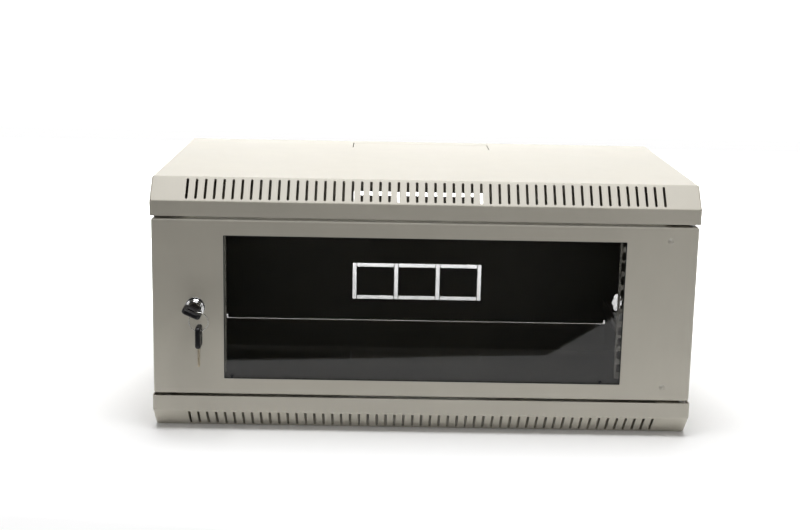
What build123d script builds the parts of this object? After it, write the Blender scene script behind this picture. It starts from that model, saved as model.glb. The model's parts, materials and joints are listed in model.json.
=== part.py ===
from build123d import *
import os
from math import cos, radians, sin, sqrt

os.makedirs("parts", exist_ok=True)

# A 4U wall cabinet for 19-inch equipment. X is across, -Y is the door side and Z is up.
# The origin is the middle of the footprint, on the underside of the bottom cover.

# Cabinet envelope
width = 600.0
depth = 350.0
height = 284.0
half_width = width / 2
front_y = -depth / 2
rear_y = depth / 2
mid_z = height / 2

# Sheet metal
sheet = 1.2
bracket_sheet = 1.5
bend_radius = 2.4
running_gap = 0.3
fit_gap = 0.05

# Top and bottom covers
cover_edge = 40.3
cover_rear_edge = 39.0
chamfer_depth = 22.0
chamfer_height = 23.6
relief_radius = 1.6
hex_corner_turn = 30
vent_count = 53
vent_pitch = 10.0
vent_width = 2.8
vent_length = 26.5
flap_width = 174.0
flap_length = 40.0
flap_from_rear = 25.0
cut_width = 1.0
flap_dot_radius = 1.65

# Side walls
wall_outer_x = half_width - sheet
wall_bottom = 8.0
wall_front_y = front_y + chamfer_depth
wall_rear_y = rear_y - sheet
wall_front_flange = 18.8
wall_rear_flange = 40.8
flange_end_gap = 2.0
keyhole_x = 273.0
keyhole_drop = 72.0
keyhole_width = 9.4
keyhole_length = 23.5
keyhole_head_radius = 6.75

# Rear panel with its cable-entry knock-outs
panel_half_width = 264.0
panel_bottom = 40.3
notch_width = 8.6
notch_height = 4.6
plate_width = 51.2
plate_height = 39.6
plate_count = 3
plate_slot = 5.0
tab_width = 0.9
entry_offset = 48.8
entry_rise = 1.2

# Mounting rails: EIA hole pattern, with 9.5 mm square holes
rack_units = 4
rack_unit = 44.45
rail_hole_heights = (6.35, 22.225, 38.1)
rail_hole = 9.5
rail_hole_x = 465.1 / 2
rail_opening = 450.4
rail_sheet = 1.5
rail_front_y = front_y + 70.0
rail_outer_x = 252.0
rail_flange = 30.0
rail_length = 190.0

# Depth runners, which carry the rails
runner_leg = 20.0
runner_front_y = -145.0
runner_length = 310.0
runner_offset = 75.5
rail_travel_forward = 25.0
rail_travel_back = 180.0
rail_bolt_y = rail_front_y + 18.0
rail_bolt_radius = 3.0
rail_bolt_length = 13.0
rail_head_radius = 5.5
rail_head_height = 3.2
rail_head_taper = 20
rail_nut_flats = 10.0
rail_nut_height = 5.0
socket_flats = 4.0
socket_depth = 2.2

# Door
door_half_width = 298.5
door_height = 197.5
door_depth = 18.0
window_width = 440.5
window_height = 162.3
window_corner = 1.0
skin_y = front_y + sheet

# Glazing
tape_thickness = 1.0
tape_show = 0.8
glass_thickness = 4.0
glass_width = 462.0
glass_height = 180.0
glass_corner = 2.0
glass_arris = 0.5
pad_places = (-211.5, 198.0)
pad_width = 3.0
pad_show = 4.0
glass_front_y = skin_y + tape_thickness
glass_rear_y = glass_front_y + glass_thickness
clip_places = (-150.0, 0.0, 150.0)
clip_width = 14.0
clip_overlap = 6.0
stud_radius = 2.0
stud_length = 12.0
stud_chamfer = 0.4
stud_offset = glass_height / 2 + stud_radius + 0.4
clip_nut_flats = 7.0
clip_nut_height = 3.2
nut_chamfer = 0.4

# Hinges
hinge_x = 291.0
hinge_y = -167.0
pin_radius = 2.5
pin_head_radius = 4.0
pin_head_height = 2.0
pin_reach = 19.0
pin_point = 0.6
hinge_plate_width = 34.0
hinge_plate_margin = 1.5
hinge_plate_leg = 14.0
hinge_plate_depth = 19.0
bracket_width = 42.0
bracket_height = 24.0
ear_width = 17.0
ear_drop = 10.0
ear_depth = 13.0

# Lock
lock_x = -251.5
lock_z = 142.5
barrel_radius = 9.0
barrel_flats = 16.0
barrel_length = 18.0
collar_length = 8.0
collar_radius = 8.2
collar_chamfer = 0.7
collar_flare = 0.6
flare_start = 2.6
flare_radius = 3.0
escutcheon_radius = 11.0
escutcheon_rim = 1.0
plug_radius = 6.0
plug_recess = 0.6
plug_chamfer = 0.4
lock_nut_flats = 24.0
lock_nut_height = 4.0
lock_nut_chamfer = 0.6
cam_length = 38.0
cam_width = 14.0
cam_thickness = 2.5
cam_corner = 3.0
cam_square = 7.0
cam_screw_radius = 2.0
cam_screw_length = 6.0
cam_screw_hole = 6.5
cam_screw_head_radius = 5.0
cam_screw_head = 2.4
cam_screw_round = 0.5
cross_length = 8.0
cross_width = 0.9
cross_depth = 1.2

# Keys
key_tilt = 24.0
bow_width = 21.0
bow_length = 24.0
bow_thickness = 5.5
bow_corner = 4.5
bow_edge = 1.0
bow_slot_length = 12.0
bow_slot_height = 4.0
bow_web = 4.8
blade_width = 8.0
blade_thickness = 2.0
blade_length = 22.0
blade_root = 6.0
blade_root_width = 10.0
bitting_depths = (1.6, 2.4, 1.2, 2.0)
bitting_pitch = 4.0
tip_slope = 3.0
keyway_end_gap = 1.0
groove_width = 1.2
groove_depth = 0.5
key_front_y = front_y - 35.0
keyway_gap = 0.1

# Key ring
ring_radius = 10.4
ring_wire_radius = 0.55
ring_drop = 6.0
spare_slot_rise = 1.3


def save(piece, name):
    """Label a finished piece and write its STEP file."""
    piece.part.label = name
    export_step(piece.part, f"parts/{name}.step")


# Paired pieces: each copy's name and the sign of its place about the cabinet's middle
ends = (("lower", -1), ("upper", 1))
sides = (("left", -1), ("right", 1))


# Bottom cover: a tray with a chamfered, vented front, folded from one sheet.
cover_profile = [
    (front_y, cover_edge),
    (front_y, chamfer_height),
    (front_y + chamfer_depth, 0),
    (rear_y, 0),
    (rear_y, cover_rear_edge),
]
chamfer_middle = (0, front_y + chamfer_depth / 2, chamfer_height / 2)
chamfer_plane = Plane(chamfer_middle, x_dir=(1, 0, 0), z_dir=(0, -chamfer_height, -chamfer_depth))
flap_rear_y = rear_y - flap_from_rear

with BuildPart() as bottom_cover:
    with BuildSketch(Plane.YZ):
        with BuildLine():
            Polyline(cover_profile, close=True)
        make_face()
    extrude(amount=half_width, both=True)
    open_face = bottom_cover.faces().sort_by(Axis.Z)[-1]
    fillet(bottom_cover.edges() - open_face.edges(), radius=bend_radius)
    offset(amount=-sheet, openings=bottom_cover.faces().sort_by(Axis.Z)[-1])
    # Vent slots down the chamfer
    with BuildSketch(chamfer_plane):
        with GridLocations(vent_pitch, 1, vent_count, 1):
            SlotOverall(vent_length, vent_width, rotation=90)
    extrude(amount=3 * sheet, both=True, mode=Mode.SUBTRACT)
    # Bend reliefs where the chamfer's two folds run into the side flanges
    for relief_x in (-half_width, half_width):
        with BuildSketch(Plane.YZ.offset(relief_x)):
            with Locations((front_y, chamfer_height), (front_y + chamfer_depth, 0)):
                Circle(relief_radius)
        extrude(amount=bend_radius, both=True, mode=Mode.SUBTRACT)
    # Cable flap: a cut on three sides, with a round relief at each rear corner
    with BuildSketch(Plane.XY):
        with Locations((0, flap_rear_y)):
            Rectangle(flap_width, cut_width)
        with GridLocations(flap_width, 1, 2, 1):
            with Locations((0, flap_rear_y - flap_length / 2)):
                Rectangle(cut_width, flap_length)
            with Locations((0, flap_rear_y)):
                Circle(flap_dot_radius)
    extrude(amount=2 * sheet, mode=Mode.SUBTRACT)
save(bottom_cover, "bottom_cover")

# Top cover: the bottom cover's mirror image
with BuildPart() as top_cover:
    mirror(bottom_cover.part, about=Plane.XY.offset(mid_z))
save(top_cover, "top_cover")

# Side walls: a full-height web inside the covers, with a front flange between the cover lips
# and a rear flange that carries the wall keyholes
wall_inner_x = wall_outer_x - sheet
wall_mid_x = wall_outer_x - sheet / 2
front_flange_x = wall_outer_x - wall_front_flange
rear_flange_x = wall_outer_x - wall_rear_flange
flange_bottom = cover_edge + flange_end_gap
keyhole_heights = (mid_z - keyhole_drop, mid_z + keyhole_drop)

for side, sign in sides:
    with BuildPart() as side_wall:
        with BuildSketch(Plane.XY.offset(wall_bottom)):
            with BuildLine():
                FilletPolyline(
                    (sign * wall_mid_x, wall_front_y),
                    (sign * wall_mid_x, wall_rear_y - sheet / 2),
                    (sign * rear_flange_x, wall_rear_y - sheet / 2),
                    radius=bend_radius - sheet / 2,
                )
            trace(line_width=sheet)
        extrude(amount=height - 2 * wall_bottom)
        with BuildSketch(Plane.XY.offset(flange_bottom)):
            with Locations((sign * (wall_outer_x + front_flange_x) / 2, wall_front_y + sheet / 2)):
                Rectangle(wall_front_flange, sheet)
        extrude(amount=height - 2 * flange_bottom)
        front_corner = (sign * wall_outer_x, wall_front_y, mid_z)
        upright_edges = side_wall.edges().filter_by(Axis.Z)
        fillet(upright_edges.sort_by_distance(front_corner)[0], radius=sheet / 2)
        # Keyholes: a vertical slot with a round head opening in its middle
        with BuildSketch(Plane.XZ.offset(-wall_rear_y)):
            with Locations([(sign * keyhole_x, keyhole_z) for keyhole_z in keyhole_heights]):
                SlotOverall(keyhole_length, keyhole_width, rotation=90)
                Circle(keyhole_head_radius)
        extrude(amount=2 * sheet, both=True, mode=Mode.SUBTRACT)
    save(side_wall, f"{side}_side_wall")

# Rear panel, against the rear flanges, with two rows of knock-out plates on thin tabs
panel_rear_y = wall_rear_y - sheet
entry_width = plate_count * plate_width + (plate_count + 1) * plate_slot
entry_height = plate_height + 2 * plate_slot
panel_height = height - 2 * panel_bottom

with BuildPart() as rear_panel:
    with BuildSketch(Plane.XZ.offset(-panel_rear_y)):
        with Locations((0, mid_z)):
            Rectangle(2 * panel_half_width, panel_height)
            with GridLocations(2 * panel_half_width - notch_width, panel_height - notch_height, 2, 2):
                Rectangle(notch_width, notch_height, mode=Mode.SUBTRACT)
    extrude(amount=sheet)
    for row_offset in (-entry_offset, entry_offset):
        with BuildSketch(Plane.XZ.offset(-panel_rear_y)):
            with Locations((0, mid_z + entry_rise + row_offset)):
                Rectangle(entry_width, entry_height)
                with GridLocations(plate_width + plate_slot, 1, plate_count, 1):
                    Rectangle(plate_width, plate_height, mode=Mode.SUBTRACT)
                    with GridLocations(plate_width - tab_width, 1, 2, 1):
                        Rectangle(tab_width, entry_height, mode=Mode.SUBTRACT)
        extrude(amount=sheet, mode=Mode.SUBTRACT)
save(rear_panel, "rear_panel")

# Depth runners: U channels welded to the side walls, slotted along the inner leg
runner_leg_x = rail_outer_x + running_gap
runner_mid_x = runner_leg_x + bracket_sheet / 2
slot_width = 2 * (rail_bolt_radius + running_gap)
slot_front = rail_bolt_y - rail_travel_forward
slot_rear = rail_bolt_y + rail_travel_back
slot_length = slot_rear - slot_front + slot_width

for side, side_sign in sides:
    for end, end_sign in ends:
        bolt_z = mid_z + end_sign * runner_offset
        web_z = bolt_z + end_sign * (runner_leg - bracket_sheet) / 2
        tip_z = bolt_z - end_sign * runner_leg / 2
        with BuildPart() as runner:
            with BuildSketch(Plane.XZ.offset(-runner_front_y)):
                with BuildLine():
                    FilletPolyline(
                        (side_sign * runner_mid_x, tip_z),
                        (side_sign * runner_mid_x, web_z),
                        (side_sign * (wall_inner_x - bracket_sheet / 2), web_z),
                        (side_sign * (wall_inner_x - bracket_sheet / 2), tip_z),
                        radius=1.5 * bracket_sheet,
                    )
                trace(line_width=bracket_sheet)
            extrude(amount=-runner_length)
            with BuildSketch(Plane.YZ.offset(side_sign * runner_mid_x)):
                with Locations(((slot_front + slot_rear) / 2, bolt_z)):
                    SlotOverall(slot_length, slot_width)
            extrude(amount=bracket_sheet, both=True, mode=Mode.SUBTRACT)
        save(runner, f"depth_runner_{end}_{side}")

# Mounting rails: angles with a punched front flange and a bolting flange outside
rail_bottom = mid_z - rail_length / 2
rail_inner_x = rail_opening / 2
rail_mid_y = rail_front_y + rail_sheet / 2
rail_first_hole = mid_z - rack_units * rack_unit / 2
rail_holes = []
for unit in range(rack_units):
    for hole_height in rail_hole_heights:
        rail_holes.append(rail_first_hole + unit * rack_unit + hole_height)

bolt_places = [(rail_bolt_y, mid_z - runner_offset), (rail_bolt_y, mid_z + runner_offset)]

for side, sign in sides:
    with BuildPart() as mounting_rail:
        with BuildSketch(Plane.XY.offset(rail_bottom)):
            with BuildLine():
                FilletPolyline(
                    (sign * rail_inner_x, rail_mid_y),
                    (sign * (rail_outer_x - rail_sheet / 2), rail_mid_y),
                    (sign * (rail_outer_x - rail_sheet / 2), rail_front_y + rail_flange),
                    radius=rail_sheet,
                )
            trace(line_width=rail_sheet)
        extrude(amount=rail_length)
        with BuildSketch(Plane.XZ.offset(-rail_front_y)):
            with Locations([(sign * rail_hole_x, hole_z) for hole_z in rail_holes]):
                Rectangle(rail_hole, rail_hole)
        extrude(amount=-rail_sheet, mode=Mode.SUBTRACT)
        with BuildSketch(Plane.YZ.offset(sign * rail_outer_x)):
            with Locations(bolt_places):
                Circle(rail_bolt_radius + fit_gap)
        extrude(amount=-sign * 2 * rail_sheet, mode=Mode.SUBTRACT)
    save(mounting_rail, f"mounting_rail_{side}")

    # Button-head screws from inside the cabinet, through the runner's slot
    head_x = rail_outer_x - rail_sheet
    with BuildPart() as rail_screws:
        for bolt_place in bolt_places:
            with BuildSketch(Plane.YZ.offset(sign * head_x)):
                with Locations(bolt_place):
                    Circle(rail_bolt_radius)
            extrude(amount=sign * rail_bolt_length)
            with BuildSketch(Plane.YZ.offset(sign * head_x)):
                with Locations(bolt_place):
                    Circle(rail_head_radius)
            extrude(amount=-sign * rail_head_height, taper=rail_head_taper)
            with BuildSketch(Plane.YZ.offset(sign * (head_x - rail_head_height))):
                with Locations(bolt_place):
                    RegularPolygon(socket_flats / 2, 6, major_radius=False)
            extrude(amount=sign * socket_depth, mode=Mode.SUBTRACT)
    save(rail_screws, f"rail_screws_{side}")

    nut_x = runner_leg_x + bracket_sheet + running_gap
    with BuildPart() as rail_nuts:
        with BuildSketch(Plane.YZ.offset(sign * nut_x)):
            with Locations(bolt_places):
                RegularPolygon(rail_nut_flats / 2, 6, major_radius=False)
                Circle(rail_bolt_radius, mode=Mode.SUBTRACT)
        extrude(amount=sign * rail_nut_height)
        nut_faces = rail_nuts.faces().filter_by(Axis.X)
        chamfer(nut_faces.edges().filter_by(GeomType.LINE), nut_chamfer)
    save(rail_nuts, f"rail_nuts_{side}")

# Door panel: a shallow pan with the window and the lock's double-D hole punched in its skin
with BuildPart() as door_panel:
    with BuildSketch(Plane.XZ.offset(-front_y)):
        with Locations((0, mid_z)):
            Rectangle(2 * door_half_width, door_height)
    extrude(amount=-door_depth)
    open_face = door_panel.faces().sort_by(Axis.Y)[-1]
    fillet(door_panel.edges() - open_face.edges(), radius=bend_radius)
    offset(amount=-sheet, openings=door_panel.faces().sort_by(Axis.Y)[-1])
    with BuildSketch(Plane.XZ.offset(-front_y)):
        with Locations((0, mid_z)):
            RectangleRounded(window_width, window_height, window_corner)
    extrude(amount=-2 * sheet, mode=Mode.SUBTRACT)
    with BuildSketch(Plane.XZ.offset(-front_y)):
        with Locations((lock_x, lock_z)):
            Circle(barrel_radius + fit_gap)
            Rectangle(4 * barrel_radius, barrel_flats + 2 * fit_gap, mode=Mode.INTERSECT)
    extrude(amount=-2 * sheet, mode=Mode.SUBTRACT)
    with BuildSketch(Plane.XY.offset(mid_z)):
        with Locations((hinge_x, hinge_y)):
            Circle(pin_radius + fit_gap)
    extrude(amount=door_height, both=True, mode=Mode.SUBTRACT)
save(door_panel, "door_panel")

# Foam tape between the skin and the glass, with two tabs that show above the window's lower edge
with BuildPart() as glass_tape:
    with BuildSketch(Plane.XZ.offset(-skin_y)):
        with Locations((0, mid_z)):
            Rectangle(glass_width, glass_height)
            Rectangle(window_width - 2 * tape_show, window_height - 2 * tape_show, mode=Mode.SUBTRACT)
        with Locations([(pad_x, mid_z - window_height / 2 + pad_show / 2) for pad_x in pad_places]):
            Rectangle(pad_width, pad_show)
    extrude(amount=-tape_thickness)
save(glass_tape, "glass_tape")

with BuildPart() as door_glass:
    with BuildSketch(Plane.XZ.offset(-glass_front_y)):
        with Locations((0, mid_z)):
            RectangleRounded(glass_width, glass_height, glass_corner)
    extrude(amount=-glass_thickness)
    chamfer(door_glass.edges().group_by(Axis.Y)[-1], glass_arris)
save(door_glass, "door_glass")

# Weld studs, clips and nuts that hold the glass along its top and bottom edges
stud_places = []
for clip_x in clip_places:
    stud_places.append((clip_x, mid_z - stud_offset))
    stud_places.append((clip_x, mid_z + stud_offset))

with BuildPart() as glass_studs:
    with BuildSketch(Plane.XZ.offset(-skin_y)):
        with Locations(stud_places):
            Circle(stud_radius)
    extrude(amount=-stud_length)
    chamfer(glass_studs.edges().group_by(Axis.Y)[-1], stud_chamfer)
save(glass_studs, "glass_studs")

clip_inner = glass_height / 2 - clip_overlap
clip_outer = door_height / 2 - bend_radius - running_gap
with BuildPart() as glass_clips:
    for sign in (-1, 1):
        clip_z = mid_z + sign * (clip_inner + clip_outer) / 2
        clip_foot_z = mid_z + sign * (clip_outer - sheet / 2)
        with BuildSketch(Plane.XZ.offset(-glass_rear_y)):
            with Locations([(clip_x, clip_z) for clip_x in clip_places]):
                Rectangle(clip_width, clip_outer - clip_inner)
            with Locations(stud_places):
                Circle(stud_radius + 2 * fit_gap, mode=Mode.SUBTRACT)
        extrude(amount=-sheet)
        with BuildSketch(Plane.XZ.offset(-skin_y)):
            with Locations([(clip_x, clip_foot_z) for clip_x in clip_places]):
                Rectangle(clip_width, sheet)
        extrude(amount=-(glass_rear_y - skin_y + sheet))
save(glass_clips, "glass_clips")

with BuildPart() as glass_nuts:
    with BuildSketch(Plane.XZ.offset(-(glass_rear_y + sheet))):
        with Locations(stud_places):
            RegularPolygon(clip_nut_flats / 2, 6, major_radius=False, rotation=hex_corner_turn)
            Circle(stud_radius, mode=Mode.SUBTRACT)
    extrude(amount=-clip_nut_height)
save(glass_nuts, "glass_nuts")

# Hinges, at the top and bottom of the right edge. The plate and its pin belong to the cover;
# the bracket, with its ear, is welded inside the door.
plate_x = hinge_x - hinge_plate_width / 2 + pin_head_radius + hinge_plate_margin
bracket_right_x = door_half_width - sheet
ear_x = bracket_right_x - ear_width / 2

for end, sign in ends:
    cover_lip_z = mid_z + sign * (mid_z - cover_edge)
    plate_top_z = cover_lip_z + sign * bracket_sheet
    with BuildPart() as hinge_plate:
        with BuildSketch(Plane.YZ.offset(plate_x)):
            with BuildLine():
                FilletPolyline(
                    (skin_y + bracket_sheet / 2, cover_lip_z + sign * hinge_plate_leg),
                    (skin_y + bracket_sheet / 2, cover_lip_z + sign * bracket_sheet / 2),
                    (skin_y + hinge_plate_depth, cover_lip_z + sign * bracket_sheet / 2),
                    radius=bracket_sheet,
                )
            trace(line_width=bracket_sheet)
        extrude(amount=hinge_plate_width / 2, both=True)
        with BuildSketch(Plane.XY.offset(cover_lip_z)):
            with Locations((hinge_x, hinge_y)):
                Circle(pin_radius)
        extrude(amount=2 * bracket_sheet, both=True, mode=Mode.SUBTRACT)
    save(hinge_plate, f"hinge_plate_{end}")

    with BuildPart() as hinge_pin:
        with BuildSketch(Plane.XY.offset(plate_top_z)):
            with Locations((hinge_x, hinge_y)):
                Circle(pin_head_radius)
        extrude(amount=sign * pin_head_height)
        with BuildSketch(Plane.XY.offset(plate_top_z)):
            with Locations((hinge_x, hinge_y)):
                Circle(pin_radius)
        extrude(amount=-sign * pin_reach)
        chamfer(hinge_pin.edges().sort_by(Axis.Z, reverse=sign > 0)[-1], pin_point)
    save(hinge_pin, f"hinge_pin_{end}")

    door_edge_z = mid_z + sign * (door_height / 2 - sheet)
    bracket_z = door_edge_z - sign * (bend_radius + bracket_height / 2)
    with BuildPart() as hinge_bracket:
        with BuildSketch(Plane.XZ.offset(-skin_y)):
            with Locations((bracket_right_x - bracket_width / 2, bracket_z)):
                Rectangle(bracket_width - 2 * bend_radius, bracket_height)
        extrude(amount=-bracket_sheet)
        with BuildSketch(Plane.XY.offset(door_edge_z - sign * ear_drop)):
            with Locations((ear_x - bend_radius, skin_y + bracket_sheet + ear_depth / 2)):
                Rectangle(ear_width, ear_depth)
            with Locations((hinge_x, hinge_y)):
                Circle(pin_radius + fit_gap, mode=Mode.SUBTRACT)
        extrude(amount=-sign * bracket_sheet)
    save(hinge_bracket, f"hinge_bracket_{end}")

# Cam lock: an escutcheon with a collar and a flatted barrel, held by a nut inside the door
lock_plane = Plane((lock_x, front_y, lock_z), x_dir=(1, 0, 0), z_dir=(0, 0, 1))
lock_face = Plane((lock_x, front_y, lock_z), x_dir=(1, 0, 0), z_dir=(0, -1, 0))
plug_front = collar_length - plug_recess
barrel_end = -barrel_length
cam_front = wall_front_y + sheet + running_gap - front_y
plug_bore = plug_radius + fit_gap
flare_top = (collar_radius + collar_flare, -flare_start)

with BuildPart() as lock_housing:
    with BuildSketch(lock_plane):
        with BuildLine():
            Polyline(
                (plug_bore, -collar_length),
                (collar_radius - collar_chamfer, -collar_length),
                (collar_radius, -collar_length + collar_chamfer),
                flare_top,
            )
            RadiusArc(flare_top, (escutcheon_radius, -escutcheon_rim), -flare_radius)
            Polyline(
                (escutcheon_radius, -escutcheon_rim),
                (escutcheon_radius, 0),
                (barrel_radius, 0),
                (barrel_radius, barrel_length),
                (plug_bore, barrel_length),
                (plug_bore, -collar_length),
            )
        make_face()
    revolve(axis=Axis((lock_x, 0, lock_z), (0, 1, 0)))
    # Flats on the barrel
    with BuildSketch(lock_face.offset(barrel_end)):
        with GridLocations(1, barrel_flats + barrel_radius, 1, 2):
            Rectangle(3 * barrel_radius, barrel_radius)
    extrude(amount=barrel_length, mode=Mode.SUBTRACT)
save(lock_housing, "lock_housing")

with BuildPart() as lock_nut:
    with BuildSketch(lock_face.offset(-sheet)):
        RegularPolygon(lock_nut_flats / 2, 6, major_radius=False)
        Circle(barrel_radius + fit_gap, mode=Mode.SUBTRACT)
    extrude(amount=-lock_nut_height)
    chamfer(lock_nut.faces().sort_by(Axis.Y)[-1].edges().filter_by(GeomType.LINE), lock_nut_chamfer)
save(lock_nut, "lock_nut")

# The plug turns in the barrel. Its keyway, its square and the cam share the key's tilt.
key_side = Vector(cos(radians(key_tilt)), 0, -sin(radians(key_tilt)))
key_flat = Vector(-sin(radians(key_tilt)), 0, -cos(radians(key_tilt)))
plug_face = Plane((lock_x, front_y, lock_z), x_dir=key_side, z_dir=(0, -1, 0))
blade_tip = front_y - key_front_y - bow_length - blade_length

with BuildPart() as lock_plug:
    with BuildSketch(plug_face.offset(plug_front)):
        Circle(plug_radius)
    extrude(amount=-(plug_front + cam_front))
    chamfer(lock_plug.faces().sort_by(Axis.Y)[0].edges(), plug_chamfer)
    with BuildSketch(plug_face.offset(-cam_front)):
        Rectangle(cam_square, cam_square)
    extrude(amount=-cam_thickness + fit_gap)
    with BuildSketch(plug_face.offset(plug_front)):
        Rectangle(blade_width + 2 * keyway_gap, blade_thickness + 2 * keyway_gap)
    extrude(amount=blade_tip - keyway_end_gap - plug_front, mode=Mode.SUBTRACT)
    with BuildSketch(plug_face.offset(-cam_front - cam_thickness)):
        Circle(cam_screw_radius)
    extrude(amount=cam_screw_hole, mode=Mode.SUBTRACT)
save(lock_plug, "lock_plug")

cam_plane = plug_face.offset(-cam_front)
cam_tip = cam_length - cam_width / 2
with BuildPart() as lock_cam:
    with BuildSketch(cam_plane):
        Circle(cam_width / 2)
        with Locations((0, -cam_tip / 2)):
            Rectangle(cam_width, cam_tip)
        with Locations((0, -cam_tip)):
            RectangleRounded(cam_width, cam_width, cam_corner)
        Rectangle(cam_square + 2 * fit_gap, cam_square + 2 * fit_gap, mode=Mode.SUBTRACT)
    extrude(amount=-cam_thickness)
save(lock_cam, "lock_cam")

with BuildPart() as cam_screw:
    with BuildSketch(plug_face.offset(-cam_front - cam_thickness)):
        Circle(cam_screw_head_radius)
    extrude(amount=-cam_screw_head)
    chamfer(cam_screw.faces().sort_by(Axis.Y)[-1].edges(), cam_screw_round)
    with BuildSketch(plug_face.offset(-cam_front - cam_thickness)):
        Circle(cam_screw_radius)
    extrude(amount=cam_screw_length)
    with BuildSketch(plug_face.offset(-cam_front - cam_thickness - cam_screw_head)):
        Rectangle(cross_length, cross_width)
        Rectangle(cross_width, cross_length)
    extrude(amount=cross_depth, mode=Mode.SUBTRACT)
save(cam_screw, "cam_screw")


# A key's own plane: x across the bow, y from the blade out through the bow, z through its thickness
def make_key(shoulder, prefix):
    """Write a key's brass blade and its plastic bow, which meet at the shoulder plane's origin."""
    with BuildPart() as blade:
        with BuildSketch(shoulder):
            with Locations((0, -blade_length / 2)):
                Rectangle(blade_width, blade_length)
            with Locations((0, blade_root / 2)):
                Rectangle(blade_root_width, blade_root)
        extrude(amount=blade_thickness / 2, both=True)
        # Bitting: notches cut in one edge, and a sloped tip
        with BuildSketch(shoulder):
            for index, bitting in enumerate(bitting_depths):
                with Locations((blade_width / 2, -blade_length + bitting_pitch * (index + 1))):
                    Rectangle(sqrt(2) * bitting, sqrt(2) * bitting, rotation=45)
            with Locations((blade_width / 2, -blade_length), (-blade_width / 2, -blade_length)):
                Rectangle(tip_slope, tip_slope, rotation=45)
        extrude(amount=blade_thickness, both=True, mode=Mode.SUBTRACT)
        # Warding groove along each face
        for face_side in (-1, 1):
            with BuildSketch(shoulder.offset(face_side * blade_thickness / 2)):
                with Locations((-blade_width / 5, -blade_length / 2)):
                    Rectangle(groove_width, blade_length)
            extrude(amount=-face_side * groove_depth, mode=Mode.SUBTRACT)
    save(blade, f"{prefix}key_blade")

    with BuildPart() as bow:
        with BuildSketch(shoulder):
            with Locations((0, bow_length / 2)):
                RectangleRounded(bow_width, bow_length, bow_corner)
        extrude(amount=bow_thickness / 2, both=True)
        flat_faces = bow.faces().sort_by(Axis(shoulder.origin, shoulder.z_dir))
        fillet(flat_faces[0].edges() + flat_faces[-1].edges(), radius=bow_edge)
        with BuildSketch(shoulder):
            with Locations((0, bow_length - bow_web - bow_slot_height / 2)):
                SlotOverall(bow_slot_length, bow_slot_height)
        extrude(amount=bow_thickness, both=True, mode=Mode.SUBTRACT)
        with BuildSketch(shoulder):
            with Locations((0, blade_root / 2)):
                Rectangle(blade_root_width, blade_root)
        extrude(amount=blade_thickness / 2, both=True, mode=Mode.SUBTRACT)
    save(bow, f"{prefix}key_bow")


make_key(Plane((lock_x, key_front_y + bow_length, lock_z), x_dir=key_side, z_dir=key_flat), "")

# Key ring, round the web at the right of the bow's slot
slot_from_shoulder = bow_length - bow_web - bow_slot_height / 2
web_middle = (bow_slot_length + bow_width) / 4
ring_x = lock_x + web_middle * key_side.X
ring_y = key_front_y + bow_length - slot_from_shoulder
ring_z = lock_z + web_middle * key_side.Z - ring_drop
with BuildPart() as key_ring:
    with BuildSketch(Plane((ring_x, ring_y, ring_z), x_dir=(1, 0, 0), z_dir=(0, 0, 1))):
        with Locations((ring_radius, 0)):
            Circle(ring_wire_radius)
    revolve(axis=Axis((ring_x, ring_y, ring_z), (0, 1, 0)))
save(key_ring, "key_ring")

# Spare key, hanging edge-on from the bottom of the ring
ring_bottom = ring_z - ring_radius
spare_shoulder_z = ring_bottom + spare_slot_rise - (bow_length - bow_web)
make_key(Plane((ring_x, ring_y, spare_shoulder_z), x_dir=(0, 1, 0), z_dir=(1, 0, 0)), "spare_")

print("hinge axis", hinge_x, hinge_y)
print("lock axis", lock_x, lock_z)
print("ring swing axis", ring_x, ring_y, ring_z + ring_drop)
print("spare key swing axis", ring_x, ring_y, ring_bottom)
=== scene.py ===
import json
import math

import bmesh
import bpy
from mathutils import Matrix, Vector

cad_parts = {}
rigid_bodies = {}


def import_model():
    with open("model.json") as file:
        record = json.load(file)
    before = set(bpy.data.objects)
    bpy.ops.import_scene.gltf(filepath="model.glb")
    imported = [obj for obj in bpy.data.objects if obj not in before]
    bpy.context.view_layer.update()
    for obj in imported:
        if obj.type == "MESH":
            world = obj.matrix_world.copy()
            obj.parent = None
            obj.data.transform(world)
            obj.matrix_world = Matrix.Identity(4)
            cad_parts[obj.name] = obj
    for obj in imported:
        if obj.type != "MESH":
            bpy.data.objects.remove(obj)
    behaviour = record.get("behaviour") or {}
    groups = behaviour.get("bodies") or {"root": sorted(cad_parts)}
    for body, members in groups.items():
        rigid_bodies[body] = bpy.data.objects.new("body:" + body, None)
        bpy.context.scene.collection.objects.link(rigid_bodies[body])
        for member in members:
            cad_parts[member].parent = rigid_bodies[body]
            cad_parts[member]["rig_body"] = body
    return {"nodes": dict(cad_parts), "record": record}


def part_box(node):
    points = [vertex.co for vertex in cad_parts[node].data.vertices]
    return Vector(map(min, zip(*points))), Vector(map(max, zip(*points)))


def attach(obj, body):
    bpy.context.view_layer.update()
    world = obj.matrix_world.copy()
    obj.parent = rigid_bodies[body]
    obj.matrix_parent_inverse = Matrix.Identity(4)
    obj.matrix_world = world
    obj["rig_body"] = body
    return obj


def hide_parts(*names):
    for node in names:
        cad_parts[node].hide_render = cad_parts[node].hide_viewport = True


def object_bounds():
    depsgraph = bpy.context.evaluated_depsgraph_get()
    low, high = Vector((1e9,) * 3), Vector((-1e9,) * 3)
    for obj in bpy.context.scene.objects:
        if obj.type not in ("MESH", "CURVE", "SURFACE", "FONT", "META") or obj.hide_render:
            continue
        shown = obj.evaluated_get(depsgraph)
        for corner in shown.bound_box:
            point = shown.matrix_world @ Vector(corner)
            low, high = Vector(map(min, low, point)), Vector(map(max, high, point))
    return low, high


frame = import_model()
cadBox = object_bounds()
mm = 0.001
nodes = frame["nodes"]
slotOf = {part["node"]: part["material_slot"] for part in frame["record"]["subparts"]}
print("frame loaded:", len(nodes), "nodes")


# ---- shader tools

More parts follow.
